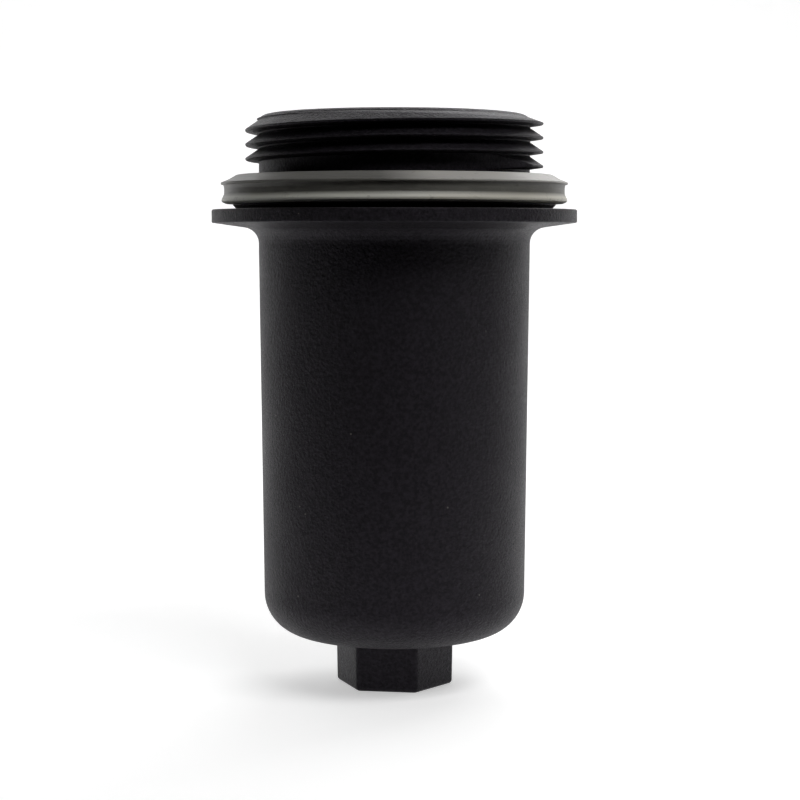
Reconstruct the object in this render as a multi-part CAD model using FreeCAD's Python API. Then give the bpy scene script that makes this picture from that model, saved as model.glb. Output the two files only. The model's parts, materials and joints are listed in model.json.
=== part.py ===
import FreeCAD, Part
import math
import os

from FreeCAD import Vector

# Screw-on oil filter: a moulded bowl with a hex drive, a flange and an external buttress thread,
# a profile seal ring on the flange, and a sprung paper cartridge with a bypass valve inside.
# Millimetres. Origin at the centre of the hex drive's end face, +Z along the axis to the thread.

# Hex drive
HEX_ACROSS_FLATS = 24.0
HEX_HEIGHT = 12.3
HEX_DRAFT_DEG = 0.8
HEX_TURN_DEG = -8.7
HEX_CORNER_RADIUS = 1.2
HEX_END_RADIUS = 0.9
HEX_CORE_RADIUS = 8.8
HEX_CORE_TAPER = 0.3
HEX_CORE_FLOOR = 3.2

# Bowl, outside
TOTAL_HEIGHT = 133.0
BODY_TOP_RADIUS = 31.45
BODY_TOP_Z = 102.0
BODY_DRAFT_DEG = 0.63
BODY_CORNER_RADIUS = 9.6

# Flange, collar and spigot of the seal ring
FLANGE_RADIUS = 42.3
FLANGE_BOTTOM_Z = 108.15
FLANGE_TOP_Z = 111.2
FLANGE_ROOT_Z = 106.6
FLANGE_FILLET = 3.6
FLANGE_EDGE = 0.4
COLLAR_FOOT_RADIUS = 36.4
COLLAR_TOP_RADIUS = 37.7
COLLAR_TOP_Z = 112.5
SPIGOT_RADIUS = 35.0
SPIGOT_TOP_Z = 119.0

# Neck and thread
NECK_RADIUS = 31.35
NECK_CHAMFER_Z = 131.3
RIM_SHOULDER = (30.6, 132.5)
RIM_RADIUS = 28.9
THREAD_CREST_RADIUS = 34.4
THREAD_PITCH = 3.28
THREAD_CREST_Z = 121.05
THREAD_START_DEG = -50.0
THREAD_TURNS = 3.52
THREAD_UPPER_FLANK_DEG = 34.0
THREAD_LOWER_FLANK_DEG = 8.0
THREAD_CREST_FLAT = 0.45
THREAD_ROOT_SINK = 0.15
THREAD_BURIED = 0.5
THREAD_RUN_IN_LENGTH = 28.0
THREAD_LEAD_IN = ((28.4, 133.2), (34.6, 130.95))

# Bowl, inside
BORE_MOUTH_RADIUS = 28.3
BORE_FLOOR_RADIUS = 27.6
BOWL_FLOOR_Z = 15.3
BORE_CORNER_RADIUS = 7.0
LOCATOR_RADIUS = 11.4
LOCATOR_TOP_Z = 17.3
RIB_COUNT = 6
RIB_WIDTH = 2.0
RIB_INNER_RADIUS = 26.6
RIB_Z = (24.0, 117.0)

# Seal ring
RING_CLEARANCE = 0.06
RING_TOP_Z = 119.1
RING_FOOT_RADIUS = 40.0
RING_LIP_RADIUS = 40.2
RING_WAIST_RADIUS = 39.5
RING_CONE_KNEE = (38.2, 118.2)
RING_CONE_TOP_RADIUS = 36.3
RING_FOOT_CHAMFER = (1.0, 0.65)
RING_FOOT_HEIGHT = 1.1
RING_WAIST_HEIGHTS = (2.1, 4.3)
RING_LIP_HEIGHTS = (4.6, 4.9)

# Element spring and its seats
WASHER_RADII = (12.0, 16.6)
WASHER_TOP_Z = 16.3
ELEMENT_SPRING_RADIUS = 14.2
ELEMENT_SPRING_WIRE = 1.6
ELEMENT_SPRING_TURNS = 3.5
CUP_BOTTOM_Z = 27.5
CUP_TOP_Z = 28.5
CUP_RADIUS = 18.0
CUP_HOLE_RADIUS = 7.0
CUP_SKIRT_RADII = (12.0, 12.9)
CUP_SKIRT_DEPTH = 2.7
CUP_RIM_SHEET = 0.9
CUP_RIM_DEPTH = 1.6

# How the coils and edges are worked out
COIL_SECTIONS_PER_TURN = 18
END_COIL_RISE = 1.03
EDGE_MATCH = 0.05

# Cartridge
CAP_RADIUS = 26.0
CAP_SHEET = 0.6
CAP_LIP = 4.6
CAP_EDGE = 0.5
CARTRIDGE_BOTTOM_Z = 28.5
CARTRIDGE_TOP_Z = 126.0
POTTING_DEPTH = 2.0
POTTING_RADIUS = CAP_RADIUS - CAP_SHEET
LOWER_CAP_HOLE_RADIUS = 6.5
UPPER_CAP_HOLE_RADIUS = 12.0
PLEAT_COUNT = 48
PAPER_THICKNESS = 0.5
MEDIA_INNER_RADIUS = 12.2
MEDIA_OUTER_RADIUS = 24.6
INNER_FOLD_RADIUS = 0.36
OUTER_FOLD_RADIUS = 0.62
CLIP_SHEET = 0.3
CLIP_DEPTH = 3.0
CLIP_CLEARANCE = 0.02
BEAD_RADII = (24.62, 25.3)
BEAD_WIDTH = 2.4
BEAD_GAP = 2.8
BEAD_CENTRES = (54.0, 77.25, 100.5)
TUBE_RADII = (10.7, 11.5)
TUBE_HOLE_RADIUS = 2.0
TUBE_HOLE_ROWS = 12
TUBE_HOLES_PER_ROW = 8
TUBE_PLAIN_ENDS = (22.0, 4.0)
PORT_RADIUS = 9.0
PORT_SEAL_RADIUS = 13.4
PORT_SEAL_TOP_Z = 127.8
PORT_ENTRY_CHAMFER = 0.8
PORT_EXIT_CHAMFER = 0.4
PORT_HEAD_RADII = (13.2, 12.6)
FLAP_INNER_RADIUS = 13.6
FLAP_OUTER_RADIUS = 24.0
FLAP_SHEET = 0.9
FLAP_FOOT_WIDTH = 2.6
FLAP_RISE = 1.2
FLAP_EDGE_SHEET = 0.6

# Bypass valve in the lower end of the core
VALVE_WALL_RADII = (8.8, 9.6)
VALVE_FLANGE_RADIUS = 10.5
VALVE_TOP_Z = 48.0
VALVE_FLOOR_SHEET = 1.0
VALVE_PORT_RADIUS = 5.0
VALVE_SEAT_RADII = (6.0, 5.8)
VALVE_SEAT_Z = 30.8
VALVE_SEAL_TOP_Z = 32.0
POPPET_RADIUS = 7.6
POPPET_SHEET = 1.0
POPPET_BOSS = (2.8, 1.2)
SEAL_HOLE_RADIUS = 2.4
SEAL_EDGE_GAP = 0.2
BUTTON_RADIUS = 3.2
BUTTON_DEPTHS = (0.1, 0.9)
STEM_RADIUS = 1.6
STEM_TOP_Z = 50.0
STEM_POINT = 0.5
STEM_CLEARANCE = 0.08
VALVE_SPRING_RADIUS = 4.3
VALVE_SPRING_WIRE = 0.8
VALVE_SPRING_TURNS = 5.5
RETAINER_Z = (46.6, 47.6)
RETAINER_WINDOWS = 3
WINDOW_RADII = (5.4, 7.4)
WINDOW_ANGLE = 80

LOWER_CAP_TOP_Z = CARTRIDGE_BOTTOM_Z + CAP_SHEET
UPPER_CAP_BOTTOM_Z = CARTRIDGE_TOP_Z - CAP_SHEET
MEDIA_BOTTOM_Z = LOWER_CAP_TOP_Z + POTTING_DEPTH
MEDIA_TOP_Z = UPPER_CAP_BOTTOM_Z - POTTING_DEPTH


def tan_deg(angle):
    return math.tan(math.radians(angle))


def polar(radius, angle):
    return Vector(radius * math.cos(angle), radius * math.sin(angle), 0)


def section(points):
    """Closed face in the XZ plane from (radius, height) corners."""
    corners = [Vector(r, 0, z) for r, z in points]
    return Part.Face(Part.makePolygon(corners + corners[:1]))


def turned(points):
    """Solid of revolution about the axis from (radius, height) corners."""
    return section(points).revolve(Vector(0, 0, 0), Vector(0, 0, 1), 360)


def tube(inner, outer, bottom, top):
    return turned([(inner, bottom), (outer, bottom), (outer, top), (inner, top)])


def edges_where(shape, wanted):
    return [edge for edge in shape.Edges if wanted(edge)]


def round_at(shape, radius, size, height):
    """Fillet the circular edge of the given radius and height."""
    def wanted(edge):
        if not isinstance(edge.Curve, Part.Circle):
            return False
        same_height = abs(edge.BoundBox.Center.z - height) < EDGE_MATCH
        return same_height and abs(edge.Curve.Radius - radius) < EDGE_MATCH
    return shape.makeFillet(size, edges_where(shape, wanted))


def coil_rise(turn, turns, wire_diameter, rise):
    """Height climbed after so many turns: each end coil lies closed against the next one."""
    end_rise = END_COIL_RISE * wire_diameter
    active_pitch = (rise - 2 * end_rise) / (turns - 2)
    active = min(max(turn - 1, 0), turns - 2)
    ends = min(turn, 1) + max(turn - turns + 1, 0)
    return end_rise * ends + active_pitch * active


def coil(radius, wire_diameter, turns, bottom, top):
    """Spring wire between two seats: round sections joined along a helix."""
    wire_radius = wire_diameter / 2
    rise = top - bottom - wire_diameter
    count = round(turns * COIL_SECTIONS_PER_TURN)
    sections = []
    for i in range(count + 1):
        turn = turns * i / count
        angle = 2 * math.pi * turn
        height = bottom + wire_radius + coil_rise(turn, turns, wire_diameter, rise)
        centre = polar(radius, angle) + Vector(0, 0, height)
        along = polar(1, angle + math.pi / 2)
        sections.append(Part.Wire(Part.makeCircle(wire_radius, centre, along)))
    return Part.makeLoft(sections, True, True)


def body_radius(height):
    return BODY_TOP_RADIUS - tan_deg(BODY_DRAFT_DEG) * (BODY_TOP_Z - height)


def hex_drive():
    """Drafted hexagon with rounded corners, narrowest at its end face."""
    def outline(height):
        corner = (HEX_ACROSS_FLATS / 2 + tan_deg(HEX_DRAFT_DEG) * height) / math.cos(math.pi / 6)
        angles = [math.radians(HEX_TURN_DEG + 60 * i) for i in range(6)]
        corners = [polar(corner, angle) + Vector(0, 0, height) for angle in angles]
        return Part.makePolygon(corners + corners[:1])

    top = HEX_HEIGHT + 2
    shape = Part.makeLoft([outline(0), outline(top)], True, True)
    upright = edges_where(shape, lambda edge: edge.BoundBox.ZLength > top / 2)
    shape = shape.makeFillet(HEX_CORNER_RADIUS, upright)
    end = edges_where(shape, lambda edge: edge.BoundBox.ZMax < 0.01)
    return shape.makeFillet(HEX_END_RADIUS, end)


def bowl_outside():
    """Tapered body, flange, collar, spigot and neck as one turned solid."""
    bottom_radius = body_radius(HEX_HEIGHT)
    shape = turned([
        (0, HEX_HEIGHT), (bottom_radius, HEX_HEIGHT), (BODY_TOP_RADIUS, BODY_TOP_Z),
        (BODY_TOP_RADIUS, FLANGE_ROOT_Z), (FLANGE_RADIUS, FLANGE_BOTTOM_Z),
        (FLANGE_RADIUS, FLANGE_TOP_Z), (COLLAR_FOOT_RADIUS, FLANGE_TOP_Z),
        (COLLAR_TOP_RADIUS, COLLAR_TOP_Z), (SPIGOT_RADIUS, COLLAR_TOP_Z),
        (SPIGOT_RADIUS, SPIGOT_TOP_Z), (NECK_RADIUS, SPIGOT_TOP_Z),
        (NECK_RADIUS, NECK_CHAMFER_Z), RIM_SHOULDER, (RIM_RADIUS, TOTAL_HEIGHT),
        (0, TOTAL_HEIGHT)])
    shape = round_at(shape, bottom_radius, BODY_CORNER_RADIUS, HEX_HEIGHT)
    shape = round_at(shape, BODY_TOP_RADIUS, FLANGE_FILLET, FLANGE_ROOT_Z)
    shape = round_at(shape, FLANGE_RADIUS, FLANGE_EDGE, FLANGE_BOTTOM_Z)
    return round_at(shape, FLANGE_RADIUS, FLANGE_EDGE, FLANGE_TOP_Z)


def bowl_inside():
    """Space inside the bowl, with the cored-out hex below the floor."""
    shape = turned([
        (0, HEX_CORE_FLOOR), (HEX_CORE_RADIUS - HEX_CORE_TAPER, HEX_CORE_FLOOR),
        (HEX_CORE_RADIUS, LOCATOR_TOP_Z),
        (LOCATOR_RADIUS, LOCATOR_TOP_Z), (LOCATOR_RADIUS, BOWL_FLOOR_Z),
        (BORE_FLOOR_RADIUS, BOWL_FLOOR_Z), (BORE_MOUTH_RADIUS, TOTAL_HEIGHT),
        (BORE_MOUTH_RADIUS, TOTAL_HEIGHT + 1), (0, TOTAL_HEIGHT + 1)])
    return round_at(shape, BORE_FLOOR_RADIUS, BORE_CORNER_RADIUS, BOWL_FLOOR_Z)


def thread_ridge():
    """One right-hand buttress ridge, its load flank facing the flange."""
    outer = THREAD_CREST_RADIUS
    half_flat = THREAD_CREST_FLAT / 2
    inner = NECK_RADIUS - THREAD_ROOT_SINK
    run = outer - inner
    low = -half_flat - run * tan_deg(THREAD_LOWER_FLANK_DEG)
    high = half_flat + run * tan_deg(THREAD_UPPER_FLANK_DEG)
    buried = inner - THREAD_BURIED
    profile = section([(buried, low), (inner, low), (outer, -half_flat), (outer, half_flat),
                       (inner, high), (buried, high)])
    height = THREAD_PITCH * THREAD_TURNS
    path = Part.Wire(Part.makeLongHelix(THREAD_PITCH, height, NECK_RADIUS).Edges)
    ridge = path.makePipeShell([profile.OuterWire], True, True)
    ridge = ridge.cut(run_in_cutter(low, high))
    start_z = THREAD_CREST_Z + THREAD_PITCH * THREAD_START_DEG / 360
    ridge.translate(Vector(0, 0, start_z))
    ridge.rotate(Vector(0, 0, 0), Vector(0, 0, 1), THREAD_START_DEG)
    return ridge.common(lead_in_envelope())


def run_in_cutter(low, high):
    """Block whose flat side lets the ridge rise out of the neck over its first stretch."""
    margin = 0.1
    depth = THREAD_CREST_RADIUS - NECK_RADIUS + 2
    block = Part.makeBox(depth, THREAD_RUN_IN_LENGTH + 2, high - low + 2 * margin)
    block.translate(Vector(NECK_RADIUS - margin, -2, low - margin))
    return block


def lead_in_envelope():
    """Cone that trims the ridge's last turn to the rim's lead-in."""
    (inner, top), (outer, shoulder) = THREAD_LEAD_IN
    return turned([(NECK_RADIUS - 1, SPIGOT_TOP_Z - 4), (outer + 2, SPIGOT_TOP_Z - 4),
                   (outer + 2, shoulder), (outer, shoulder), (inner, top),
                   (NECK_RADIUS - 1, NECK_CHAMFER_Z)])


def guide_ribs():
    """Upright ribs on the bore that keep the cartridge central."""
    into_wall = 3.0
    ribs = []
    for i in range(RIB_COUNT):
        rib = Part.makeBox(into_wall, RIB_WIDTH, RIB_Z[1] - RIB_Z[0])
        rib.translate(Vector(RIB_INNER_RADIUS, -RIB_WIDTH / 2, RIB_Z[0]))
        rib.rotate(Vector(0, 0, 0), Vector(0, 0, 1), 360 * (i + 0.5) / RIB_COUNT)
        ribs.append(rib)
    return ribs


def housing_bowl():
    shape = bowl_outside().fuse(hex_drive())
    shape = shape.cut(bowl_inside())
    shape = shape.fuse(guide_ribs())
    return shape.fuse(thread_ridge()).removeSplitter()


def flange_seal_ring():
    """Profile ring with two outer lips and a hollowed face between them."""
    inner = SPIGOT_RADIUS + RING_CLEARANCE
    bottom = COLLAR_TOP_Z
    waist_low, waist_high = RING_WAIST_HEIGHTS
    lip_low, lip_high = RING_LIP_HEIGHTS
    return turned([
        (inner, bottom), (RING_FOOT_RADIUS - RING_FOOT_CHAMFER[0], bottom),
        (RING_FOOT_RADIUS, bottom + RING_FOOT_CHAMFER[1]), (RING_FOOT_RADIUS, bottom + RING_FOOT_HEIGHT),
        (RING_WAIST_RADIUS, bottom + waist_low), (RING_WAIST_RADIUS, bottom + waist_high),
        (RING_LIP_RADIUS, bottom + lip_low), (RING_LIP_RADIUS, bottom + lip_high),
        RING_CONE_KNEE, (RING_CONE_TOP_RADIUS, RING_TOP_Z), (inner, RING_TOP_Z)])


def spring_seat_washer():
    return tube(WASHER_RADII[0], WASHER_RADII[1], BOWL_FLOOR_Z, WASHER_TOP_Z)


def element_spring():
    return coil(ELEMENT_SPRING_RADIUS, ELEMENT_SPRING_WIRE, ELEMENT_SPRING_TURNS,
                WASHER_TOP_Z, CUP_BOTTOM_Z)


def spring_cup():
    """Pressed plate: a skirt centres the spring and a rim stiffens the edge."""
    skirt_inner, skirt_outer = CUP_SKIRT_RADII
    skirt_bottom = CUP_BOTTOM_Z - CUP_SKIRT_DEPTH
    rim_inner = CUP_RADIUS - CUP_RIM_SHEET
    rim_bottom = CUP_BOTTOM_Z - CUP_RIM_DEPTH
    return turned([
        (CUP_HOLE_RADIUS, CUP_BOTTOM_Z), (skirt_inner, CUP_BOTTOM_Z),
        (skirt_inner, skirt_bottom), (skirt_outer, skirt_bottom),
        (skirt_outer, CUP_BOTTOM_Z), (rim_inner, CUP_BOTTOM_Z),
        (rim_inner, rim_bottom), (CUP_RADIUS, rim_bottom),
        (CUP_RADIUS, CUP_TOP_Z), (CUP_HOLE_RADIUS, CUP_TOP_Z)])


def lower_end_cap():
    inner = CAP_RADIUS - CAP_SHEET
    shape = turned([
        (LOWER_CAP_HOLE_RADIUS, CARTRIDGE_BOTTOM_Z), (CAP_RADIUS, CARTRIDGE_BOTTOM_Z),
        (CAP_RADIUS, CARTRIDGE_BOTTOM_Z + CAP_LIP), (inner, CARTRIDGE_BOTTOM_Z + CAP_LIP),
        (inner, LOWER_CAP_TOP_Z), (LOWER_CAP_HOLE_RADIUS, LOWER_CAP_TOP_Z)])
    return round_at(shape, CAP_RADIUS, CAP_EDGE, CARTRIDGE_BOTTOM_Z)


def upper_end_cap():
    inner = CAP_RADIUS - CAP_SHEET
    shape = turned([
        (UPPER_CAP_HOLE_RADIUS, UPPER_CAP_BOTTOM_Z), (inner, UPPER_CAP_BOTTOM_Z),
        (inner, CARTRIDGE_TOP_Z - CAP_LIP), (CAP_RADIUS, CARTRIDGE_TOP_Z - CAP_LIP),
        (CAP_RADIUS, CARTRIDGE_TOP_Z), (UPPER_CAP_HOLE_RADIUS, CARTRIDGE_TOP_Z)])
    return round_at(shape, CAP_RADIUS, CAP_EDGE, CARTRIDGE_TOP_Z)


def lower_potting():
    return tube(TUBE_RADII[1], POTTING_RADIUS, LOWER_CAP_TOP_Z, MEDIA_BOTTOM_Z)


def upper_potting():
    return tube(PORT_SEAL_RADIUS, POTTING_RADIUS, MEDIA_TOP_Z, UPPER_CAP_BOTTOM_Z)


def pleat_loop(offset):
    """One side of the folded paper: fold arcs joined by straight flanks, as a closed wire."""
    half_paper = PAPER_THICKNESS / 2
    inner_centre = MEDIA_INNER_RADIUS + INNER_FOLD_RADIUS + half_paper
    outer_centre = MEDIA_OUTER_RADIUS - OUTER_FOLD_RADIUS - half_paper
    outer_arc = OUTER_FOLD_RADIUS + offset
    inner_arc = INNER_FOLD_RADIUS - offset
    half_pitch = math.pi / PLEAT_COUNT
    reach = polar(outer_centre, 0) - polar(inner_centre, half_pitch)
    lean = math.asin((OUTER_FOLD_RADIUS + INNER_FOLD_RADIUS) / reach.Length)
    heading = math.atan2(-reach.y, reach.x)
    turn = math.pi / 2 + lean - heading
    edges = []
    for i in range(PLEAT_COUNT):
        fold = 2 * half_pitch * i
        trough = fold + half_pitch
        outer = polar(outer_centre, fold)
        inner = polar(inner_centre, trough)
        crest = [outer + polar(outer_arc, fold + side * turn) for side in (-1, 0, 1)]
        valley = [inner + polar(inner_arc, trough + math.pi + side * (turn - half_pitch))
                  for side in (1, 0, -1)]
        following = polar(outer_centre, fold + 2 * half_pitch)
        next_start = following + polar(outer_arc, fold + 2 * half_pitch - turn)
        edges.append(Part.Arc(*crest).toShape())
        edges.append(Part.LineSegment(crest[2], valley[0]).toShape())
        edges.append(Part.Arc(*valley).toShape())
        edges.append(Part.LineSegment(valley[2], next_start).toShape())
    return Part.Wire(edges)


def pleated_media():
    half_paper = PAPER_THICKNESS / 2
    face = Part.Face(pleat_loop(half_paper)).cut(Part.Face(pleat_loop(-half_paper)))
    face.translate(Vector(0, 0, MEDIA_BOTTOM_Z))
    return face.extrude(Vector(0, 0, MEDIA_TOP_Z - MEDIA_BOTTOM_Z))


def media_seam_clip():
    """Folded metal strip pinched over one pleat, where the paper's two ends meet."""
    inner = OUTER_FOLD_RADIUS + PAPER_THICKNESS / 2 + CLIP_CLEARANCE
    outer = inner + CLIP_SHEET
    centre = MEDIA_OUTER_RADIUS - OUTER_FOLD_RADIUS - PAPER_THICKNESS / 2
    height = MEDIA_TOP_Z - MEDIA_BOTTOM_Z
    channel = Part.makeCylinder(outer, height)
    channel = channel.fuse(Part.makeBox(CLIP_DEPTH, 2 * outer, height, Vector(-CLIP_DEPTH, -outer, 0)))
    hollow = Part.makeCylinder(inner, height)
    slot_depth = CLIP_DEPTH + 1
    hollow = hollow.fuse(Part.makeBox(slot_depth, 2 * inner, height, Vector(-slot_depth, -inner, 0)))
    clip = channel.cut(hollow).removeSplitter()
    clip.translate(Vector(centre, 0, MEDIA_BOTTOM_Z))
    return clip


def pleat_spacing_beads():
    """Rings of glue round the outer folds, broken where the seam clip stands."""
    corner = Vector(BEAD_RADII[0] - 1, -BEAD_GAP / 2, 0)
    gap = Part.makeBox(BEAD_RADII[1] - BEAD_RADII[0] + 2, BEAD_GAP, TOTAL_HEIGHT, corner)
    beads = []
    for centre in BEAD_CENTRES:
        ring = tube(BEAD_RADII[0], BEAD_RADII[1], centre - BEAD_WIDTH / 2, centre + BEAD_WIDTH / 2)
        beads.append(ring.cut(gap))
    return Part.makeCompound(beads)


def centre_tube():
    """Perforated core that keeps the paper from collapsing inwards."""
    shape = tube(TUBE_RADII[0], TUBE_RADII[1], LOWER_CAP_TOP_Z, MEDIA_TOP_Z)
    first = LOWER_CAP_TOP_Z + TUBE_PLAIN_ENDS[0]
    row_pitch = (MEDIA_TOP_Z - TUBE_PLAIN_ENDS[1] - first) / TUBE_HOLE_ROWS
    drills = []
    for row in range(TUBE_HOLE_ROWS):
        height = first + row_pitch * (row + 0.5)
        for i in range(TUBE_HOLES_PER_ROW):
            angle = 2 * math.pi * (i + 0.5 * (row % 2)) / TUBE_HOLES_PER_ROW
            start = polar(TUBE_RADII[0] - 2, angle) + Vector(0, 0, height)
            drills.append(Part.makeCylinder(TUBE_HOLE_RADIUS, 4.0, start, polar(1, angle)))
    return shape.cut(Part.makeCompound(drills))


def upper_port_seal():
    """Grommet in the upper cap, sealing on the standpipe that enters it."""
    return turned([
        (PORT_RADIUS, MEDIA_TOP_Z + PORT_EXIT_CHAMFER), (PORT_RADIUS + PORT_EXIT_CHAMFER, MEDIA_TOP_Z),
        (PORT_SEAL_RADIUS, MEDIA_TOP_Z), (PORT_SEAL_RADIUS, UPPER_CAP_BOTTOM_Z),
        (UPPER_CAP_HOLE_RADIUS, UPPER_CAP_BOTTOM_Z), (UPPER_CAP_HOLE_RADIUS, CARTRIDGE_TOP_Z),
        (PORT_HEAD_RADII[0], CARTRIDGE_TOP_Z), (PORT_HEAD_RADII[1], PORT_SEAL_TOP_Z),
        (PORT_RADIUS + PORT_ENTRY_CHAMFER, PORT_SEAL_TOP_Z),
        (PORT_RADIUS, PORT_SEAL_TOP_Z - PORT_ENTRY_CHAMFER)])


def anti_drain_flap():
    """Soft coned ring on the upper cap that shuts the inlet when the engine stops."""
    foot = FLAP_INNER_RADIUS + FLAP_FOOT_WIDTH
    edge_middle = CARTRIDGE_TOP_Z + FLAP_RISE
    return turned([
        (FLAP_INNER_RADIUS, CARTRIDGE_TOP_Z), (foot, CARTRIDGE_TOP_Z),
        (FLAP_OUTER_RADIUS, edge_middle - FLAP_EDGE_SHEET / 2),
        (FLAP_OUTER_RADIUS, edge_middle + FLAP_EDGE_SHEET / 2),
        (foot, CARTRIDGE_TOP_Z + FLAP_SHEET), (FLAP_INNER_RADIUS, CARTRIDGE_TOP_Z + FLAP_SHEET)])


def valve_body():
    """Cup that stands on the lower cap, with a raised seat round its port."""
    floor_top = LOWER_CAP_TOP_Z + VALVE_FLOOR_SHEET
    return turned([
        (VALVE_PORT_RADIUS, LOWER_CAP_TOP_Z), (VALVE_FLANGE_RADIUS, LOWER_CAP_TOP_Z),
        (VALVE_FLANGE_RADIUS, floor_top), (VALVE_WALL_RADII[1], floor_top),
        (VALVE_WALL_RADII[1], VALVE_TOP_Z), (VALVE_WALL_RADII[0], VALVE_TOP_Z),
        (VALVE_WALL_RADII[0], floor_top), (VALVE_SEAT_RADII[0], floor_top),
        (VALVE_SEAT_RADII[1], VALVE_SEAT_Z), (VALVE_PORT_RADIUS, VALVE_SEAT_Z)])


def valve_poppet():
    """Plate with a guide stem above and a button below that holds the soft disc."""
    button_top = VALVE_SEAT_Z - BUTTON_DEPTHS[0]
    button_bottom = VALVE_SEAT_Z - BUTTON_DEPTHS[1]
    plate_top = VALVE_SEAL_TOP_Z + POPPET_SHEET
    boss_radius, boss_height = POPPET_BOSS
    return turned([
        (0, button_bottom), (BUTTON_RADIUS, button_bottom), (BUTTON_RADIUS, button_top),
        (SEAL_HOLE_RADIUS, VALVE_SEAT_Z), (SEAL_HOLE_RADIUS, VALVE_SEAL_TOP_Z),
        (POPPET_RADIUS, VALVE_SEAL_TOP_Z), (POPPET_RADIUS, plate_top), (boss_radius, plate_top),
        (STEM_RADIUS, plate_top + boss_height), (STEM_RADIUS, STEM_TOP_Z - STEM_POINT),
        (STEM_RADIUS - STEM_POINT, STEM_TOP_Z), (0, STEM_TOP_Z)])


def valve_disc_seal():
    return tube(SEAL_HOLE_RADIUS, POPPET_RADIUS - SEAL_EDGE_GAP, VALVE_SEAT_Z, VALVE_SEAL_TOP_Z)


def valve_spring():
    return coil(VALVE_SPRING_RADIUS, VALVE_SPRING_WIRE, VALVE_SPRING_TURNS,
                VALVE_SEAL_TOP_Z + POPPET_SHEET, RETAINER_Z[0])


def valve_retainer():
    """Guide plate pressed into the valve's mouth, with kidney-shaped flow windows."""
    shape = tube(STEM_RADIUS + STEM_CLEARANCE, VALVE_WALL_RADII[0], RETAINER_Z[0], RETAINER_Z[1])
    inner, outer = WINDOW_RADII
    below, above = RETAINER_Z[0] - 1, RETAINER_Z[1] + 1
    window = section([(inner, below), (outer, below), (outer, above), (inner, above)])
    window = window.revolve(Vector(0, 0, 0), Vector(0, 0, 1), WINDOW_ANGLE)
    for i in range(RETAINER_WINDOWS):
        cutter = window.copy()
        cutter.rotate(Vector(0, 0, 0), Vector(0, 0, 1), 360 * i / RETAINER_WINDOWS)
        shape = shape.cut(cutter)
    return shape


SUB_PARTS = (
    housing_bowl, flange_seal_ring, spring_seat_washer, element_spring, spring_cup,
    lower_end_cap, upper_end_cap, lower_potting, upper_potting, pleated_media,
    media_seam_clip, pleat_spacing_beads, centre_tube, upper_port_seal, anti_drain_flap,
    valve_body, valve_poppet, valve_disc_seal, valve_spring, valve_retainer,
)

os.makedirs("parts", exist_ok=True)
for make in SUB_PARTS:
    solid = make()
    assert solid.isValid(), make.__name__
    solid.exportStep(os.path.join("parts", make.__name__ + ".step"))
    print(make.__name__, len(solid.Solids), round(solid.Volume, 1))
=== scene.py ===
"""Looks of a screw-on oil filter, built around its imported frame. Lengths in the tables are millimetres."""

import json
import math
import random

import bmesh
import bpy
import numpy as np
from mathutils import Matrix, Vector, noise


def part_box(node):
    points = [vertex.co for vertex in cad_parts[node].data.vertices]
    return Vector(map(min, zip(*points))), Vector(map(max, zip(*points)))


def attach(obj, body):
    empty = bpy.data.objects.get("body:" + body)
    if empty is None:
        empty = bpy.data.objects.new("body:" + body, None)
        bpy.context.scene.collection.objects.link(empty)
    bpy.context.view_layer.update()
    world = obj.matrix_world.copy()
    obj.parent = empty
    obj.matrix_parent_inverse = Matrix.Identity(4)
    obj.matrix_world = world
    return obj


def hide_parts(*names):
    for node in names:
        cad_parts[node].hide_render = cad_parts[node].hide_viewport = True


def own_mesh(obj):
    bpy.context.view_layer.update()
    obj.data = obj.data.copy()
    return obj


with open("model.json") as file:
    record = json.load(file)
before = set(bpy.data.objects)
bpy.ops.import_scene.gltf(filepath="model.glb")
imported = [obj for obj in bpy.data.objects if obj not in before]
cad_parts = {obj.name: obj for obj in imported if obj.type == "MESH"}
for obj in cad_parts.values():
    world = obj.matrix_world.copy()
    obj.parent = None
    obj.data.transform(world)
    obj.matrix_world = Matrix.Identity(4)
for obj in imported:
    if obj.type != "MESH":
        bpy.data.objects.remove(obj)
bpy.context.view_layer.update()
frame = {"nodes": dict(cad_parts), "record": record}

MM = 0.001
BODIES = frame["record"]["behaviour"]["bodies"]
BODY_OF = {node: body for body, nodes in BODIES.items() for node in nodes}
SLOT_OF = {s["node"]: s["material_slot"] for s in frame["record"]["subparts"]}


def z_range(node):
    """Lowest and highest point of a node, in millimetres."""
    low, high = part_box(node)
    return low.z / MM, high.z / MM


# ---------------------------------------------------------------- camera and light

CAMERA_DISTANCE = 465.9
CAMERA_PITCH_DEG = 4.73
CAMERA_SIDE = 1.31
CAMERA_LENS = 89.55
CAMERA_SENSOR = 36.0
CAMERA_CLIP = (0.01, 20.0)
AIM_Z = 66.84
WORLD_LIGHT = 0.01
WORLD_SEEN = 1.1
WORLD_COLOUR = (0.95, 0.96, 1.0, 1)

# Name, place, aim, size (metres) and power (watts) of each lamp.
LAMPS = (
    ("overhead", (0.0, 0.0, 1.1), (0, 0, 0.0), (1.2, 0.5), 1.3),
    ("back_high", (0.35, 0.85, 0.85), (0, 0, 0.1), (1.0, 0.5), 5.6),
    ("back_left", (-0.45, 0.85, 0.7), (0, 0, 0.1), (0.6, 0.5), 0.8),
    ("front_top", (0.38, -0.5, 0.78), (0, 0, 0.06), (0.7, 0.35), 4.9),
)


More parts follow.
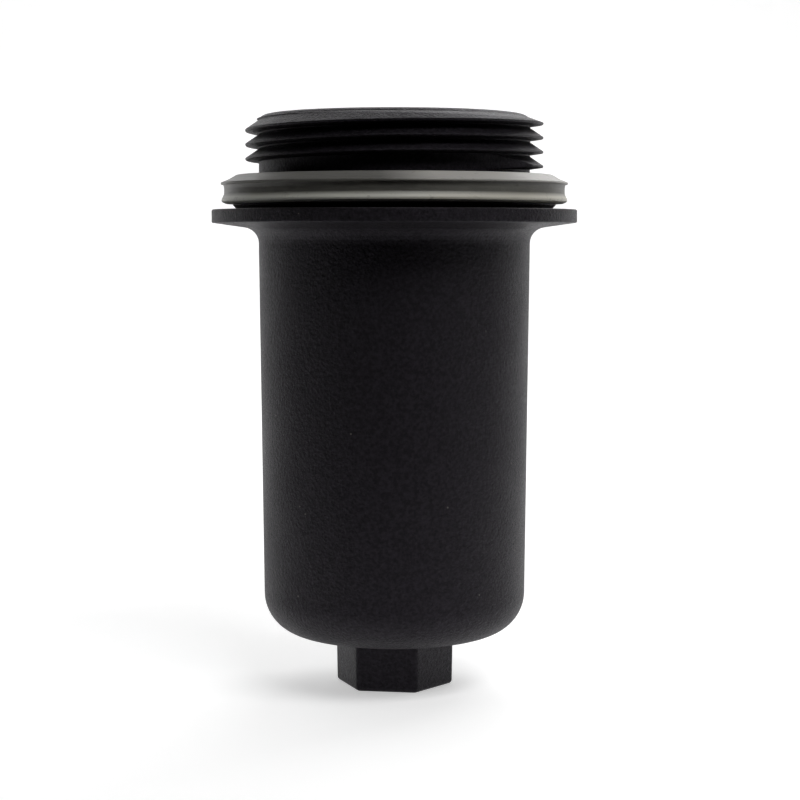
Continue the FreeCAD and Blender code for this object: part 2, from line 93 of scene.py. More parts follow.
def add_camera():
    data = bpy.data.cameras.new("camera")
    data.lens = CAMERA_LENS
    data.sensor_width = CAMERA_SENSOR
    data.clip_start, data.clip_end = CAMERA_CLIP
    camera = bpy.data.objects.new("camera", data)
    pitch = math.radians(CAMERA_PITCH_DEG)
    camera.location = Vector((CAMERA_SIDE, -CAMERA_DISTANCE * math.cos(pitch),
                              AIM_Z + CAMERA_DISTANCE * math.sin(pitch))) * MM
    camera.rotation_euler = (math.pi / 2 - pitch, 0, 0)
    bpy.context.scene.collection.objects.link(camera)
    bpy.context.scene.camera = camera


def add_lamp(name, place, aim, size, power):
    data = bpy.data.lights.new(name, "AREA")
    data.shape = "RECTANGLE"
    data.size, data.size_y = size
    data.energy = power
    lamp = bpy.data.objects.new(name, data)
    lamp.location = place
    lamp.rotation_euler = (Vector(aim) - Vector(place)).to_track_quat("-Z", "Y").to_euler()
    bpy.context.scene.collection.objects.link(lamp)


def add_world():
    """Almost no light of its own, but seen as white past the edges of the table and backdrop."""
    world = bpy.data.worlds.new("studio")
    world.use_nodes = True
    tree = world.node_tree
    background = tree.nodes["Background"]
    background.inputs["Color"].default_value = WORLD_COLOUR
    seen = tree.nodes.new("ShaderNodeLightPath").outputs["Is Camera Ray"]
    strength = tree.nodes.new("ShaderNodeMapRange")
    strength.inputs["To Min"].default_value = WORLD_LIGHT
    strength.inputs["To Max"].default_value = WORLD_SEEN
    tree.links.new(seen, strength.inputs["Value"])
    tree.links.new(strength.outputs["Result"], background.inputs["Strength"])
    bpy.context.scene.world = world


# ---------------------------------------------------------------- material building

class Shader:
    """A small node-graph writer: each call adds a node and returns its main output."""

    def __init__(self, name):
        self.material = bpy.data.materials.new(name)
        self.material.use_nodes = True
        self.tree = self.material.node_tree
        self.bsdf = self.tree.nodes["Principled BSDF"]
        self.place = self.add("ShaderNodeTexCoord").outputs["Object"]

    def add(self, kind, **settings):
        node = self.tree.nodes.new(kind)
        for key, value in settings.items():
            setattr(node, key, value)
        return node

    def feed(self, socket, value):
        if isinstance(value, bpy.types.NodeSocket):
            self.tree.links.new(value, socket)
        else:
            socket.default_value = value

    def set(self, **inputs):
        for key, value in inputs.items():
            self.feed(self.bsdf.inputs[key.replace("_", " ")], value)

    def noise(self, scale, detail=2.0, roughness=0.5, place=None):
        node = self.add("ShaderNodeTexNoise")
        self.feed(node.inputs["Vector"], place or self.place)
        self.feed(node.inputs["Scale"], scale)
        self.feed(node.inputs["Detail"], detail)
        self.feed(node.inputs["Roughness"], roughness)
        return node.outputs["Fac"]

    def cells(self, scale):
        node = self.add("ShaderNodeTexVoronoi")
        self.feed(node.inputs["Vector"], self.place)
        self.feed(node.inputs["Scale"], scale)
        return node.outputs["Distance"]

    def stretched(self, x, y, z):
        """Place with its axes multiplied, so that a pattern is shorter along the larger ones."""
        node = self.add("ShaderNodeMapping")
        self.feed(node.inputs["Vector"], self.place)
        node.inputs["Scale"].default_value = (x, y, z)
        return node.outputs["Vector"]

    def ramp(self, value, low, high, out_low=0.0, out_high=1.0):
        """Straight line from out_low, where the value is low, to out_high, clamped at both."""
        node = self.add("ShaderNodeMapRange")
        self.feed(node.inputs["Value"], value)
        self.feed(node.inputs["From Min"], low)
        self.feed(node.inputs["From Max"], high)
        self.feed(node.inputs["To Min"], out_low)
        self.feed(node.inputs["To Max"], out_high)
        return node.outputs["Result"]

    def math(self, operation, a, b=0.0):
        node = self.add("ShaderNodeMath", operation=operation)
        self.feed(node.inputs[0], a)
        self.feed(node.inputs[1], b)
        return node.outputs[0]

    def mix(self, factor, a, b):
        node = self.add("ShaderNodeMix", data_type="RGBA")
        self.feed(node.inputs["Factor"], factor)
        self.feed(node.inputs["A"], a)
        self.feed(node.inputs["B"], b)
        return node.outputs["Result"]

    def over(self, colour, mask, amount, other):
        """Lays another colour over this one, as strongly as the mask times the amount."""
        return self.mix(self.math("MULTIPLY", mask, amount), colour, other)

    def along(self, axis):
        """Position along an axis of the part, in metres."""
        node = self.add("ShaderNodeSeparateXYZ")
        self.feed(node.inputs[0], self.place)
        return node.outputs[axis]

    def bump(self, value, distance, strength, onto=None):
        node = self.add("ShaderNodeBump")
        self.feed(node.inputs["Height"], value)
        self.feed(node.inputs["Distance"], distance)
        self.feed(node.inputs["Strength"], strength)
        if onto is not None:
            self.feed(node.inputs["Normal"], onto)
        return node.outputs["Normal"]


def rgb(r, g, b):
    return (r, g, b, 1.0)


def shade(colour, *shares):
    """A colour with each of its channels multiplied by its own share."""
    return rgb(*(channel * share for channel, share in zip(colour, shares)))


def moulded_black(name, grain=1.0, base=0.0024, shine=0.47):
    """Glass-filled nylon: spark-eroded grain, faint cloudiness and a few bright mineral specks."""
    s = Shader(name)
    grey = (base, base, base)
    cloud = s.noise(38.0, 4.0, 0.6)
    fine = s.noise(1900.0, 4.0, 0.75)
    grit = s.cells(1300.0)
    speck = s.ramp(s.cells(150.0), 0.036, 0.024)
    scuff = s.ramp(s.noise(150.0, 6.0, 0.7), 0.62, 0.8)
    mottle = s.ramp(s.noise(1150.0, 3.0, 0.7), 0.4, 0.62)
    colour = s.mix(mottle, shade(grey, 0.08, 0.07, 0.09), shade(grey, 4.3, 3.7, 4.8))
    colour = s.over(colour, scuff, 0.25, shade(grey, 3.4, 3.2, 3.4))
    colour = s.over(colour, speck, 0.7, rgb(0.13, 0.12, 0.11))
    worn = s.ramp(cloud, 0.3, 0.7, shine - 0.04, shine + 0.06)
    rough = s.math("ADD", worn, s.ramp(fine, 0.36, 0.66, 0.07, -0.07))
    pits = s.bump(grit, 0.00014 * grain, 0.7)
    s.set(Base_Color=colour, Roughness=rough, Normal=s.bump(fine, 0.00030 * grain, 0.8, pits),
          Specular_IOR_Level=0.25, Specular_Tint=rgb(0.93, 0.85, 1.0))
    return s.material


# Heights where the painted highlight on the seal's foot and the painted light on its brow begin, and the
# span across x where painted shade on the seal's left turns to painted light on its right.
SEAL_FOOT_HIGHLIGHT_Z = (0.1148, 0.1139)
SEAL_BROW_LIGHT_Z = (0.1168, 0.1173)
SEAL_LIT_SIDE_X = (0.002, 0.016)


def soft_seal(name):
    """Grey-olive seal: slightly see-through body with a waxy skin, moulding haze and dust. Its foot carries
    a painted highlight, a little paler on its left, and its brow painted light on its right side that turns
    to painted shade on its left."""
    s = Shader(name)
    haze = s.noise(55.0, 5.0, 0.6)
    streak = s.noise(260.0, 3.0, 0.55, s.stretched(1.0, 1.0, 7.0))
    fine = s.noise(1900.0, 2.0)
    stain = s.ramp(s.noise(420.0, 4.0, 0.7, s.stretched(1.0, 1.0, 2.0)), 0.60, 0.72)
    # Painted highlight on the foot: a pale band low on the ring.
    foot = s.ramp(s.along("Z"), *SEAL_FOOT_HIGHLIGHT_Z)
    # Painted light on the brow: a pale band along the ring's top.
    brow = s.ramp(s.along("Z"), *SEAL_BROW_LIGHT_Z)
    # Painted light on the right side and painted shade on the left, blended across x.
    side = s.ramp(s.math("ADD", s.along("X"), s.math("MULTIPLY", haze, 0.012)), *SEAL_LIT_SIDE_X)
    brow_painted_light = s.mix(side, rgb(0.14, 0.137, 0.128), rgb(0.48, 0.465, 0.44))
    foot_painted_highlight = s.mix(side, rgb(0.60, 0.60, 0.54), rgb(0.56, 0.54, 0.47))
    colour = s.mix(s.ramp(haze, 0.3, 0.72), rgb(0.075, 0.073, 0.064), rgb(0.115, 0.112, 0.100))
    colour = s.mix(s.ramp(streak, 0.45, 0.75, 0.0, 0.45), colour, rgb(0.16, 0.152, 0.132))
    # Lays the painted brow light and the painted foot highlight over the seal's colour.
    colour = s.over(colour, brow, 0.8, brow_painted_light)
    colour = s.over(colour, foot, 0.9, foot_painted_highlight)
    colour = s.over(colour, stain, 0.5, rgb(0.05, 0.045, 0.035))
    s.set(Base_Color=colour, Roughness=s.ramp(haze, 0.3, 0.7, 0.38, 0.52),
          Normal=s.bump(fine, 0.00004, 0.5, s.bump(streak, 0.0001, 0.4)),
          Subsurface_Weight=0.12, Subsurface_Radius=(0.0015, 0.0015, 0.001), Specular_IOR_Level=0.35)
    return s.material


def sheet_metal(name, tint, rough, brushed=True):
    """Plated sheet: spangle, fine rolling lines, handling marks and darker oil stains."""
    s = Shader(name)
    along_lines = (1.0, 0.06, 1.0) if brushed else (1.0, 1.0, 0.12)
    lines = s.noise(900.0, 3.0, 0.6, s.stretched(*along_lines))
    stain = s.noise(70.0, 5.0, 0.65)
    spangle = s.cells(420.0)
    colour = s.mix(s.ramp(stain, 0.42, 0.72, 0.0, 0.7), rgb(*tint), shade(tint, 0.62, 0.6, 0.56))
    colour = s.mix(s.ramp(spangle, 0.2, 0.7, 0.0, 0.22), colour, shade(tint, 1.12, 1.12, 1.12))
    worn = s.ramp(stain, 0.3, 0.75, rough - 0.06, rough + 0.14)
    roughness = s.math("ADD", worn, s.ramp(lines, 0.3, 0.7, -0.05, 0.06))
    s.set(Base_Color=colour, Roughness=roughness, Normal=s.bump(lines, 0.00004, 0.35), Metallic=1.0)
    return s.material


def spring_wire(name):
    """Oiled drawn wire: blued steel with draw marks and small rust freckles."""
    s = Shader(name)
    drawn = s.noise(1500.0, 3.0, 0.6)
    freckle = s.ramp(s.noise(420.0, 5.0, 0.7), 0.64, 0.72)
    colour = s.mix(s.ramp(drawn, 0.3, 0.7), rgb(0.16, 0.165, 0.18), rgb(0.33, 0.33, 0.35))
    colour = s.over(colour, freckle, 0.5, rgb(0.12, 0.055, 0.025))
    s.set(Base_Color=colour, Roughness=s.ramp(drawn, 0.3, 0.7, 0.24, 0.42),
          Normal=s.bump(drawn, 0.00003, 0.4), Metallic=0.95)
    return s.material


EMBOSS_WAVES = 2600.0


def pleat_paper(name):
    """Resin-cured paper: fibres, curing blotches and the emboss lines that space the pleats."""
    s = Shader(name)
    fibre = s.noise(1400.0, 6.0, 0.75, s.stretched(1.0, 1.0, 0.35))
    blotch = s.noise(60.0, 4.0, 0.6)
    wave = s.math("SINE", s.math("MULTIPLY", s.along("Z"), EMBOSS_WAVES))
    colour = s.mix(s.ramp(blotch, 0.3, 0.7), rgb(0.60, 0.43, 0.19), rgb(0.74, 0.57, 0.30))
    colour = s.mix(s.ramp(fibre, 0.4, 0.75, 0.0, 0.5), colour, rgb(0.83, 0.70, 0.44))
    lines = s.bump(wave, 0.00008, 0.5)
    s.set(Base_Color=colour, Roughness=s.ramp(fibre, 0.3, 0.7, 0.75, 0.95),
          Normal=s.bump(fibre, 0.00012, 0.8, lines),
          Subsurface_Weight=0.08, Subsurface_Radius=(0.002, 0.0012, 0.0006))
    return s.material


def cured_adhesive(name, deep, pale, rough):
    """Poured or extruded adhesive: clouded, with bubbles and a skinned surface."""
    s = Shader(name)
    cloud = s.noise(90.0, 4.0, 0.6)
    bubble = s.ramp(s.cells(520.0), 0.16, 0.05)
    skin = s.noise(600.0, 4.0, 0.6)
    colour = s.mix(s.ramp(cloud, 0.3, 0.7), rgb(*deep), rgb(*pale))
    s.set(Base_Color=colour, Roughness=s.ramp(skin, 0.3, 0.7, rough - 0.08, rough + 0.1),
          Normal=s.bump(bubble, 0.00015, 0.5, s.bump(skin, 0.0001, 0.5)),
          Subsurface_Weight=0.15, Subsurface_Radius=(0.002, 0.0015, 0.001))
    return s.material


def moulded_rubber(name, deep, pale, rough):
    """Moulded rubber: fine tool grain, and bloom that pales it in patches."""
    s = Shader(name)
    bloom = s.noise(120.0, 5.0, 0.65)
    fine = s.noise(1700.0, 3.0, 0.6)
    colour = s.mix(s.ramp(bloom, 0.35, 0.75), rgb(*deep), rgb(*pale))
    s.set(Base_Color=colour, Roughness=s.ramp(bloom, 0.3, 0.7, rough - 0.08, rough + 0.1),
          Normal=s.bump(fine, 0.00007, 0.5), Sheen_Weight=0.15, Sheen_Roughness=0.4)
    return s.material


def make_materials():
    """One material for each slot of the record."""
    black, worn_black = (0.012, 0.012, 0.012), (0.028, 0.028, 0.028)
    return {
        "black_nylon": moulded_black("black_nylon"),
        "olive_seal": soft_seal("olive_seal"),
        "zinc_steel": sheet_metal("zinc_steel", (0.60, 0.61, 0.60), 0.36),
        "spring_steel": spring_wire("spring_steel"),
        "cap_steel": sheet_metal("cap_steel", (0.68, 0.66, 0.62), 0.30),
        "tube_steel": sheet_metal("tube_steel", (0.56, 0.56, 0.56), 0.38, False),
        "clip_steel": sheet_metal("clip_steel", (0.62, 0.62, 0.61), 0.28, False),
        "potting": cured_adhesive("potting", (0.30, 0.19, 0.06), (0.45, 0.31, 0.12), 0.42),
        "filter_paper": pleat_paper("filter_paper"),
        "glue": cured_adhesive("glue", (0.62, 0.58, 0.46), (0.78, 0.75, 0.66), 0.40),
        "black_rubber": moulded_rubber("black_rubber", black, worn_black, 0.5),
        "flap_rubber": moulded_rubber("flap_rubber", (0.26, 0.05, 0.022), (0.36, 0.085, 0.04), 0.46),
        "valve_plastic": moulded_black("valve_plastic", 0.6, 0.03, 0.4),
    }


# ---------------------------------------------------------------- mesh building

COLUMNS = 360
CAP_COLUMNS = 160
STEM_COLUMNS = 96
LONGEST = 40.0
MERGE = 2e-7
SUPPORT = 0.2
NO_LENGTH = 1e-6


def rounded(corners, arc_steps, longest=LONGEST):
    """Points along a polyline of (r, z, fillet) corners, with arcs at the fillets."""
    points = []
    count = len(corners)
    for i, (r, z, fillet) in enumerate(corners):
        here = Vector((r, z))
        if fillet <= 0 or i in (0, count - 1):
            points.append(here)
            continue
        before = (Vector(corners[i - 1][:2]) - here).normalized()
        after = (Vector(corners[i + 1][:2]) - here).normalized()
        half = math.acos(max(-1.0, min(1.0, before.dot(after)))) / 2
        reach = fillet / math.tan(half)
        centre = here + (before + after).normalized() * fillet / math.sin(half)
        start = here + before * reach - centre
        end = here + after * reach - centre
        sweep = math.atan2(start.x * end.y - start.y * end.x, start.dot(end))
        for step in range(arc_steps + 1):
            a = sweep * step / arc_steps
            turned = Vector((start.x * math.cos(a) - start.y * math.sin(a),
                             start.x * math.sin(a) + start.y * math.cos(a)))
            points.append(centre + turned)
    return supported(points, longest)


def supported(points, longest):
    """Adds a point near both ends of each long stretch, so that smooth shading stays on the arcs
    beside it, and cuts stretches over the longest length."""
    result = [points[0]]
    for a, b in zip(points, points[1:]):
        length = (b - a).length
        if length < NO_LENGTH:
            continue
        stops = []
        if length > 4 * SUPPORT:
            stops = [SUPPORT / length, 1 - SUPPORT / length]
        if length > longest:
            pieces = math.ceil(length / longest)
            stops = stops[:1] + [k / pieces for k in range(1, pieces)] + stops[1:]
        result += [a.lerp(b, t) for t in stops] + [b]
    return [(p.x, p.y) for p in result]


def closed_outline(corners, arc_steps, longest=LONGEST):
    """Rounded closed outline: starts and ends halfway along the first side."""
    first, last = Vector(corners[0][:2]), Vector(corners[-1][:2])
    middle = (first + last) / 2
    seam = (middle.x, middle.y, 0)
    return rounded([seam] + list(corners) + [seam], arc_steps, longest)


def finish_mesh(name, verts, faces):
    """Smooth object of welded points, with its faces turned outwards."""
    mesh = bpy.data.meshes.new(name)
    mesh.from_pydata(verts, [], faces)
    piece = bpy.data.objects.new(name, mesh)
    bpy.context.scene.collection.objects.link(piece)
    work = bmesh.new()
    work.from_mesh(mesh)
    bmesh.ops.remove_doubles(work, verts=work.verts, dist=MERGE)
    bmesh.ops.dissolve_degenerate(work, edges=work.edges, dist=MERGE)
    bmesh.ops.recalc_face_normals(work, faces=work.faces)
    if work.calc_volume(signed=True) < 0:
        bmesh.ops.reverse_faces(work, faces=work.faces)
    work.to_mesh(mesh)
    work.free()
    mesh.polygons.foreach_set("use_smooth", [True] * len(mesh.polygons))
    mesh.update()
    return piece


def grid_piece(name, radii, heights, angles):
    """Surface from rows of radius and height over the same columns of angle."""
    x = radii * np.cos(angles) * MM
    y = radii * np.sin(angles) * MM
    rows, columns = radii.shape
    verts = np.stack([x, y, heights * MM], axis=2).reshape(-1, 3)
    index = np.arange(rows * columns).reshape(rows, columns)
    a, b = index[:-1, :-1].ravel(), index[:-1, 1:].ravel()
    c, d = index[1:, 1:].ravel(), index[1:, :-1].ravel()
    return finish_mesh(name, verts.tolist(), np.stack([a, b, c, d], axis=1).tolist())


def column_angles(count=COLUMNS, start=0.0, end=2 * math.pi):
    return np.linspace(start, end, count + 1)


def tube_faces(first, rings, sides):
    """Faces of a closed tube whose rings of points follow each other from the first index."""
    faces = []
    for i in range(rings - 1):
        for k in range(sides):
            a, b = first + i * sides + k, first + i * sides + (k + 1) % sides
            faces.append((a, b, b + sides, a + sides))
    last = first + (rings - 1) * sides
    faces.append(tuple(range(first, first + sides)))
    faces.append(tuple(range(last, last + sides)))
    return faces


def ring_points(angle, offsets):
    """Points of a tube's section, from (radius, height) pairs at one angle round the axis."""
    return [(r * math.cos(angle) * MM, r * math.sin(angle) * MM, z * MM) for r, z in offsets]


def lathe(name, outline, count, ripple=None):
    """Turned piece from an outline of (radius, height); ripple(angles, r, z) may shift it."""
    angles = column_angles(count)
    radii = np.array([[p[0]] * (count + 1) for p in outline])
    heights = np.array([[p[1]] * (count + 1) for p in outline])
    if ripple is not None:
        radii, heights = ripple(angles, radii, heights)
    return grid_piece(name, radii, heights, angles)


def dress(piece, materials, node):
    """Gives a piece the material of the record slot of the node it stands for and that node's body, and
    hides the node.
    """
    slot = SLOT_OF[node]
    piece.data.materials.clear()
    piece.data.materials.append(materials[slot])
    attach(piece, BODY_OF[node])
    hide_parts(node)


# ---------------------------------------------------------------- housing bowl

HEX_FLATS = 24.0
HEX_TOP = 12.3
HEX_DRAFT_DEG = 0.8
HEX_TURN_DEG = -8.7
HEX_CORNER = 1.3
HEX_END_CORNER = 0.78
HEX_END_ROUND = 0.9
HEX_END_STEPS = 5
HEX_FOOT_FILLET = 0.7
HEX_FOOT_STEPS = 4
BODY_TOP_R, BODY_TOP_Z, BODY_DRAFT_DEG = 31.45, 102.0, 0.63
BODY_CORNER = 9.6
FLANGE_R = 42.3
FLANGE_Z = (108.15, 111.2)
FLANGE_EDGE = 0.35
FLANGE_ROOT_Z, FLANGE_ROOT_FILLET = 106.6, 3.7
LEDGE_R, LEDGE_ROOT_R, LEDGE_Z = 37.7, 36.4, 112.5
COLLAR_R = 35.0
NECK_R = 31.35
NECK_BOTTOM_Z = 119.0
NECK_CHAMFER_Z = 131.2
TOP_Z = z_range("housing_bowl")[1]
RIM_R = 28.9
BORE_R, BORE_FLOOR_R = 28.3, 27.6
BORE_BOTTOM_Z, FLOOR_Z, FLOOR_CORNER = 23.0, 15.3, 7.0
LOCATOR_R, LOCATOR_Z = 11.4, 17.3
CORE_R, CORE_FLOOR_R, CORE_Z = 8.8, 8.5, 3.2
CREST_R = 34.4
CREST_HALF = 0.225
CREST_EXTRA = 0.05
LOWER_FLANK_DEG, UPPER_FLANK_DEG = 8.0, 34.0
PITCH = 3.28
CREST_Z = 121.05
RIDGE_START = -0.235
THREAD_START_DEG = -50.0
RUN_IN_DEG = 60.0
CONE = ((28.4, 133.2), (34.6, 130.95))
RIB_R, RIB_HALF_WIDTH, RIB_Z, RIB_COUNT = 26.6, 1.15, (24.0, 117.0), 6
RIB_FLARE = 0.35


def hex_radius(angles, apothem, corner):
    """Distance to a hexagon with rounded corners, seen from its centre."""
    off = (angles - math.radians(HEX_TURN_DEG) + math.pi / 6) % (math.pi / 3) - math.pi / 6
    off = np.abs(off)
    centre = (apothem - corner) / math.cos(math.pi / 6)
    limit = math.atan2(corner * 0.5, centre + corner * math.cos(math.pi / 6))
    arc = centre * np.cos(off) + np.sqrt(np.maximum(corner ** 2 - (centre * np.sin(off)) ** 2, 0))
    flat = apothem / np.cos(math.pi / 6 - off)
    return np.where(off < limit, arc, flat)


def hex_rows(angles, add):
    """End face, rounded end, drafted sides and foot fillet of the hexagon, from the axis up."""
    apothem = HEX_FLATS / 2
    draft = math.tan(math.radians(HEX_DRAFT_DEG))
    inner = apothem - HEX_END_ROUND
    for share in (0.0, 0.4, 0.75, 0.93, 1.0):
        add(share * hex_radius(angles, inner, HEX_END_CORNER), 0.0)
    for step in range(1, HEX_END_STEPS + 1):
        share = step / HEX_END_STEPS
        turn = math.pi / 2 * share
        corner = HEX_END_CORNER + (HEX_CORNER - HEX_END_CORNER) * share
        add(hex_radius(angles, inner + HEX_END_ROUND * math.sin(turn), corner),
            HEX_END_ROUND * (1 - math.cos(turn)))
    side_top = HEX_TOP - HEX_FOOT_FILLET
    for z in (HEX_END_ROUND + SUPPORT, 4.0, 8.0, side_top - SUPPORT, side_top):
        add(hex_radius(angles, apothem + draft * z, HEX_CORNER), z)
    top = apothem + draft * side_top
    for step in range(1, HEX_FOOT_STEPS + 1):
        turn = math.pi / 2 * step / HEX_FOOT_STEPS
        add(hex_radius(angles, top + HEX_FOOT_FILLET * (1 - math.cos(turn)), HEX_CORNER),
            side_top + HEX_FOOT_FILLET * math.sin(turn))
    return hex_radius(angles, top + HEX_FOOT_FILLET, HEX_CORNER)


def outer_outline():
    """Outline from the body's rounded lower corner, round the flange, to the neck."""
    draft = math.tan(math.radians(BODY_DRAFT_DEG))
    low_r = BODY_TOP_R - draft * (BODY_TOP_Z - HEX_TOP)
    lower = rounded([(low_r - BODY_CORNER - 1.5, HEX_TOP, 0), (low_r, HEX_TOP, BODY_CORNER),
                     (BODY_TOP_R, BODY_TOP_Z, 0)], 18, 8.0)
    upper = rounded([
        (BODY_TOP_R, BODY_TOP_Z, 0), (BODY_TOP_R, FLANGE_ROOT_Z, FLANGE_ROOT_FILLET),
        (FLANGE_R, FLANGE_Z[0], FLANGE_EDGE), (FLANGE_R, FLANGE_Z[1], FLANGE_EDGE),
        (LEDGE_ROOT_R, FLANGE_Z[1], 0.15), (LEDGE_R, LEDGE_Z, 0.25), (COLLAR_R, LEDGE_Z, 0.2),
        (COLLAR_R, NECK_BOTTOM_Z, 0.4), (NECK_R, NECK_BOTTOM_Z, 0)], 6, 8.0)
    return lower, upper[1:]


def ridge_outline():
    """Radius of the thread against height above its crest, over one pitch."""
    tip = CREST_R + CREST_EXTRA
    lower = (tip - NECK_R) * math.tan(math.radians(LOWER_FLANK_DEG))
    upper = (tip - NECK_R) * math.tan(math.radians(UPPER_FLANK_DEG))
    start = RIDGE_START * PITCH
    points = rounded([
        (NECK_R, start, 0), (NECK_R, -CREST_HALF - lower, 0.12), (tip, -CREST_HALF, 0.3),
        (tip, CREST_HALF, 0.16), (NECK_R, CREST_HALF + upper, 0.4), (NECK_R, start + PITCH, 0)], 5, 0.3)
    return np.array([p[0] for p in points]), np.array([p[1] for p in points])


def neck_radius(z):
    """Plain neck with its rounded chamfer up to the rim."""
    share = np.clip((z - NECK_CHAMFER_Z) / (TOP_Z - NECK_CHAMFER_Z), 0, 1)
    return RIM_R + (NECK_R - RIM_R) * np.sqrt(1 - share ** 2.5)


def neck_rows(angles, add):
    """Rows that climb with the helix and are clipped to the neck's two ends, so that crest and
    roots lie along mesh edges. The last column meets the first one turn further on."""
    ridge_r, ridge_w = ridge_outline()
    (cone_r0, cone_z0), (cone_r1, cone_z1) = CONE
    slope = (cone_r1 - cone_r0) / (cone_z0 - cone_z1)
    degrees = np.degrees(angles)
    for turn in range(-2, 4):
        unwound = degrees + 360 * turn
        crest_z = CREST_Z + PITCH * unwound / 360
        rise = np.radians(np.clip(unwound - THREAD_START_DEG, 0, RUN_IN_DEG))
        run_in = np.where(unwound < THREAD_START_DEG, 0, (NECK_R + 0.02) / np.cos(rise))
        for w in ridge_w[:-1]:
            z = np.clip(crest_z + w, NECK_BOTTOM_Z, TOP_Z)
            radius = np.interp(z - crest_z, ridge_w, ridge_r)
            radius = np.minimum(radius, run_in)
            radius = np.minimum(radius, cone_r0 + slope * (cone_z0 - z))
            add(np.maximum(radius, neck_radius(z)), z)


def bore_rows(angles, add):
    """Rim, bore with its guide ribs, floor, spring locator and the cored-out hex."""
    rib_pitch = 2 * math.pi / RIB_COUNT
    off = (angles + rib_pitch / 2) % rib_pitch - rib_pitch / 2
    on_rib = np.abs(off) * RIB_R < RIB_HALF_WIDTH + RIB_FLARE
    rim = rounded([(RIM_R, TOP_Z, 0), (BORE_R, TOP_Z, 0.28), (BORE_R - 0.08, NECK_BOTTOM_Z, 0)], 4)
    floor = rounded([
        (BORE_FLOOR_R + 0.04, BORE_BOTTOM_Z, 0), (BORE_FLOOR_R, FLOOR_Z, FLOOR_CORNER),
        (LOCATOR_R, FLOOR_Z, 0.3), (LOCATOR_R, LOCATOR_Z, 0.4), (CORE_R, LOCATOR_Z, 0.5),
        (CORE_FLOOR_R, CORE_Z, 1.2), (0, CORE_Z, 0)], 6)
    for r, z in rim:
        add(r, z)
    rib_low, rib_high = RIB_Z
    levels = [rib_high + 0.6, rib_high, rib_high - 0.4]
    levels += [rib_high - 9.0 * k for k in range(1, 11)]
    levels += [rib_low + 0.4, rib_low, rib_low - 0.6]
    for z in levels:
        wall = BORE_FLOOR_R + (z - FLOOR_Z) / (TOP_Z - FLOOR_Z) * (BORE_R - BORE_FLOOR_R)
        add(np.where(on_rib & (rib_low < z < rib_high), RIB_R / np.cos(off), wall), z)
    for r, z in floor:
        add(r, z)


def housing_bowl(materials):
    """The whole bowl as one surface, from the middle of its end face round to the hex's core."""
    angles = column_angles()
    rows = []

    def add(radius, z):
        rows.append((np.broadcast_to(radius, angles.shape), np.broadcast_to(z, angles.shape)))

    hex_edge = hex_rows(angles, add)
    lower, upper = outer_outline()
    for share in (0.02, 0.3, 0.65):
        add(hex_edge + share * (lower[0][0] - hex_edge), HEX_TOP)
    for r, z in lower + upper:
        add(r, z)
    neck_rows(angles, add)
    bore_rows(angles, add)
    radii = np.array([r for r, z in rows], dtype=float)
    heights = np.array([z for r, z in rows], dtype=float)
    dress(grid_piece("bowl", radii, heights, angles), materials, "housing_bowl")


# ---------------------------------------------------------------- seal ring

RING_BORE_R = 35.06
RING_FOOT_R, RING_SHOULDER_R, RING_TOP_R = 39.1, 38.2, 36.6
RING_WAVES = ((5, 0.6, 0.03), (13, 0.0, 0.02))


def seal_ring(materials):
    """Profile ring: foot, hollow waist, lip and brow, slightly uneven round its outside."""
    low, high = z_range("flange_seal_ring")
    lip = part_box("flange_seal_ring")[1].x / MM
    outline = closed_outline([
        (RING_BORE_R, low, 0.25), (RING_FOOT_R, low, 0.7), (lip - 0.2, low + 0.45, 0.3),
        (lip - 0.15, low + 0.95, 0.3), (lip - 0.76, low + 2.2, 0.5), (lip - 0.78, low + 3.4, 0.8),
        (lip - 0.65, low + 4.25, 0.15), (lip, low + 4.45, 0.12), (lip - 0.02, low + 4.85, 0.16),
        (RING_SHOULDER_R, low + 5.65, 0.8), (RING_TOP_R, high, 0.5), (RING_BORE_R, high, 0.25)], 6, 0.8)

    def ripple(angles, radii, heights):
        wave = sum(depth * np.sin(count * angles + phase) for count, phase, depth in RING_WAVES)
        outer = np.clip((radii - 36.0) / 3.0, 0, 1)
        return radii - outer * np.abs(wave), heights

    dress(lathe("profile_ring", outline, COLUMNS, ripple), materials, "flange_seal_ring")


# ---------------------------------------------------------------- springs

END_COIL_RISE = 1.03
STEPS_PER_TURN = 36
WIRE_SIDES = 14

# Coil radius, wire, turns, the joint that presses the spring, and how far.
SPRINGS = {
    "element_spring": (14.2, 1.6, 3.5, "spring_plate_travel", 4.0),
    "valve_spring": (4.3, 0.8, 5.5, "bypass_valve_lift", 3.5),
}


def spring(node, radius, wire, turns, joint, travel, materials):
    """Compression spring: each end coil lies closed against the next one."""
    low, high = z_range(node)
    steps = round(STEPS_PER_TURN * turns)
    end_rise = END_COIL_RISE * wire
    pitch = (high - low - wire - 2 * end_rise) / (turns - 2)
    section = [2 * math.pi * k / WIRE_SIDES for k in range(WIRE_SIDES)]
    verts = []
    for i in range(steps + 1):
        t = turns * i / steps
        ends = min(t, 1) + max(t - turns + 1, 0)
        z = low + wire / 2 + end_rise * ends + pitch * min(max(t - 1, 0), turns - 2)
        verts += ring_points(2 * math.pi * t, [(radius + wire / 2 * math.cos(a), z + wire / 2 * math.sin(a))
                                               for a in section])
    piece = finish_mesh(node.replace("_", "-"), verts, tube_faces(0, steps + 1, WIRE_SIDES))
    dress(piece, materials, node)
    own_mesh(piece)


# ---------------------------------------------------------------- cartridge

PLEATS = 48
PAPER = 0.5
MEDIA_R = (12.2, 24.6)
MEDIA_LEVELS = 15
FOLD_IN, FOLD_OUT = 0.36, 0.62
BEAD_R = (24.62, 25.3)
BEAD_HALF = 1.15
BEAD_GAP = 0.062
BEAD_STEPS = 300
BEAD_SIDES = 12


